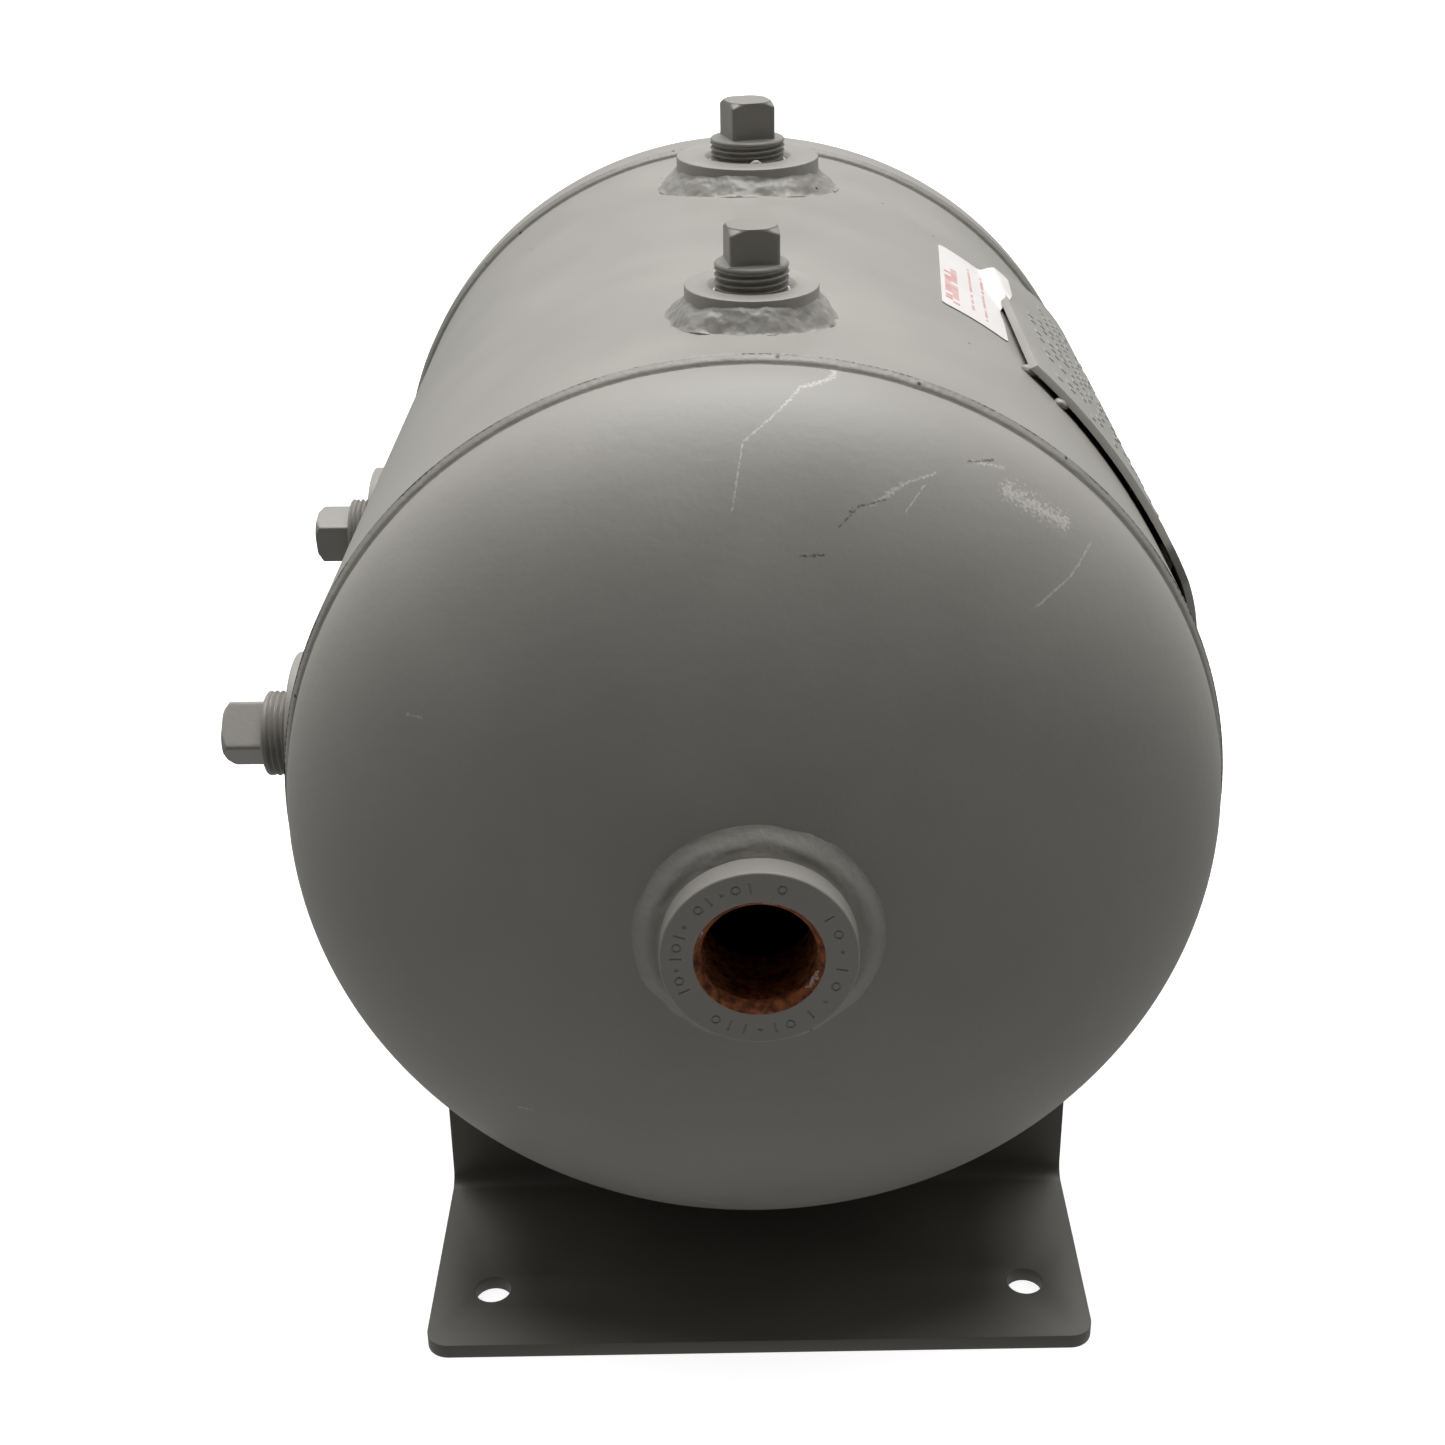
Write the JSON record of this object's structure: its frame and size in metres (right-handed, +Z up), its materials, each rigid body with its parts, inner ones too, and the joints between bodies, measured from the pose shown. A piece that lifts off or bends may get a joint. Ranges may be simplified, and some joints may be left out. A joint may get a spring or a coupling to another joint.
{
  "type": "expansion vessel",
  "caption": "Horizontal plain steel expansion tank on two bent plate feet, with an open threaded end port and square-head plugs in its top and side ports.",
  "frame": {"origin": "centre of the four foot bolt holes, on the floor plane", "axes": "+X to the right seen from the open front port, +Y along the tank to the rear, +Z up"},
  "size_m": [0.3065, 0.4266, 0.327],
  "materials": {
    "tank_paint": "satin",
    "foot_paint": "satin",
    "weld_paint": "satin",
    "fitting_paint": "satin",
    "plug_paint": "satin",
    "plate_paint": "satin",
    "seal_tape": "matte",
    "label_vinyl": "matte"
  },
  "bodies": {
    "tank": {"shell": "tank_paint", "front_head": "tank_paint", "rear_head": "tank_paint", "front_seam_weld": "weld_paint", "rear_seam_weld": "weld_paint", "long_seam_weld": "weld_paint", "front_port_coupling": "fitting_paint", "front_port_weld": "weld_paint", "top_front_boss": "fitting_paint", "top_front_boss_weld": "weld_paint", "top_rear_boss": "fitting_paint", "top_rear_boss_weld": "weld_paint", "side_front_boss": "fitting_paint", "side_front_boss_weld": "weld_paint", "side_rear_boss": "fitting_paint", "side_rear_boss_weld": "weld_paint", "front_bracket": "foot_paint", "front_bracket_weld": "foot_paint", "rear_bracket": "foot_paint", "rear_bracket_weld": "foot_paint", "nameplate": "plate_paint", "nameplate_welds": "weld_paint", "caution_label": "label_vinyl"},
    "top_front_tape": {"top_front_seal_tape": "seal_tape"},
    "top_front_plug": {"top_front_plug": "plug_paint"},
    "top_rear_tape": {"top_rear_seal_tape": "seal_tape"},
    "top_rear_plug": {"top_rear_plug": "plug_paint"},
    "side_front_tape": {"side_front_seal_tape": "seal_tape"},
    "side_front_plug": {"side_front_plug": "plug_paint"},
    "side_rear_tape": {"side_rear_seal_tape": "seal_tape"},
    "side_rear_plug": {"side_rear_plug": "plug_paint"}
  },
  "joints": [
    {"name": "top_front_plug_climb", "type": "slide", "parent": "tank", "child": "top_front_tape", "axis": [0, 0, 1], "range_m": [0, 0.0127]},
    {"name": "top_front_plug_turn", "type": "hinge", "parent": "top_front_tape", "child": "top_front_plug", "pos_m": [0, -0.099, 0.3075], "axis": [0, 0, 1], "range_deg": [0, 2522]},
    {"name": "top_rear_plug_climb", "type": "slide", "parent": "tank", "child": "top_rear_tape", "axis": [0, 0, 1], "range_m": [0, 0.0127]},
    {"name": "top_rear_plug_turn", "type": "hinge", "parent": "top_rear_tape", "child": "top_rear_plug", "pos_m": [0, 0.076, 0.3075], "axis": [0, 0, 1], "range_deg": [0, 2522]},
    {"name": "side_front_plug_climb", "type": "slide", "parent": "tank", "child": "side_front_tape", "axis": [-1, 0, 0], "range_m": [0, 0.0127]},
    {"name": "side_front_plug_turn", "type": "hinge", "parent": "side_front_tape", "child": "side_front_plug", "pos_m": [-0.1415, -0.091, 0.163], "axis": [-1, 0, 0], "range_deg": [0, 2522]},
    {"name": "side_rear_plug_climb", "type": "slide", "parent": "tank", "child": "side_rear_tape", "axis": [-1, 0, 0], "range_m": [0, 0.0127]},
    {"name": "side_rear_plug_turn", "type": "hinge", "parent": "side_rear_tape", "child": "side_rear_plug", "pos_m": [-0.1435, 0.076, 0.163], "axis": [-1, 0, 0], "range_deg": [0, 2522]}
  ],
  "couplings": [
    {"joint": "top_front_plug_turn", "follows": "top_front_plug_climb", "rad_per_m": 3463.7},
    {"joint": "top_rear_plug_turn", "follows": "top_rear_plug_climb", "rad_per_m": 3463.7},
    {"joint": "side_front_plug_turn", "follows": "side_front_plug_climb", "rad_per_m": 3463.7},
    {"joint": "side_rear_plug_turn", "follows": "side_rear_plug_climb", "rad_per_m": 3463.7}
  ]
}
